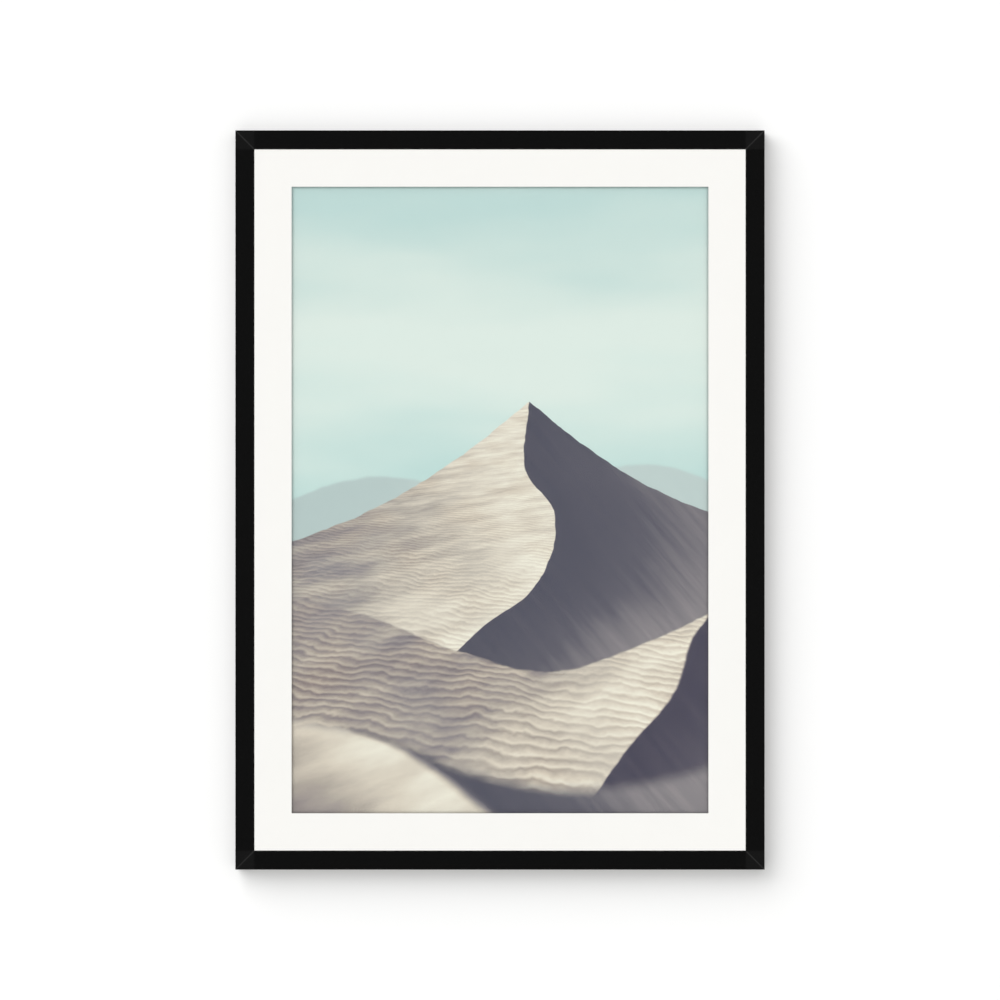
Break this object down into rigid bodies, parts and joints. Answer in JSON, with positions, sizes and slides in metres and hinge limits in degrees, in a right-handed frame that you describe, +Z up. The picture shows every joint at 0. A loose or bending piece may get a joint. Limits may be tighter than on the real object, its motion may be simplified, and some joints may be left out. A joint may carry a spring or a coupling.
{
  "type": "framed picture",
  "caption": "Wall picture in a slim black mitred frame with acrylic glazing, a wide white window mat, a soft printed picture and a board back with toothed hangers.",
  "frame": {"origin": "on the wall, midway between the two hangers, at the height where the wall's hooks bear on the roots of their teeth", "axes": "+X to the right as the picture is seen, +Y into the wall, so that the picture faces -Y, +Z up"},
  "size_m": [0.504, 0.027, 0.704],
  "materials": {
    "black_lacquered_wood": "satin",
    "clear_acrylic": "polished",
    "white_mat_board": "matte",
    "printed_paper": "matte",
    "hardboard": "matte",
    "zinc_plated_steel": "satin",
    "grey_felt": "matte"
  },
  "bodies": {
    "root": {"rail_top": "black_lacquered_wood", "rail_bottom": "black_lacquered_wood", "rail_left": "black_lacquered_wood", "rail_right": "black_lacquered_wood", "glazing": "clear_acrylic", "mat": "white_mat_board", "print": "printed_paper", "back_board": "hardboard", "v_nail_top_left": "zinc_plated_steel", "v_nail_top_right": "zinc_plated_steel", "v_nail_bottom_left": "zinc_plated_steel", "v_nail_bottom_right": "zinc_plated_steel", "flexi_point_top_1": "zinc_plated_steel", "flexi_point_top_2": "zinc_plated_steel", "flexi_point_right_1": "zinc_plated_steel", "flexi_point_right_2": "zinc_plated_steel", "flexi_point_right_3": "zinc_plated_steel", "flexi_point_bottom_1": "zinc_plated_steel", "flexi_point_bottom_2": "zinc_plated_steel", "flexi_point_left_1": "zinc_plated_steel", "flexi_point_left_2": "zinc_plated_steel", "flexi_point_left_3": "zinc_plated_steel", "hanger_left": "zinc_plated_steel", "hanger_right": "zinc_plated_steel", "hanger_nail_left_1": "zinc_plated_steel", "hanger_nail_left_2": "zinc_plated_steel", "hanger_nail_right_1": "zinc_plated_steel", "hanger_nail_right_2": "zinc_plated_steel", "bumper_left": "grey_felt", "bumper_right": "grey_felt"}
  },
  "joints": []
}
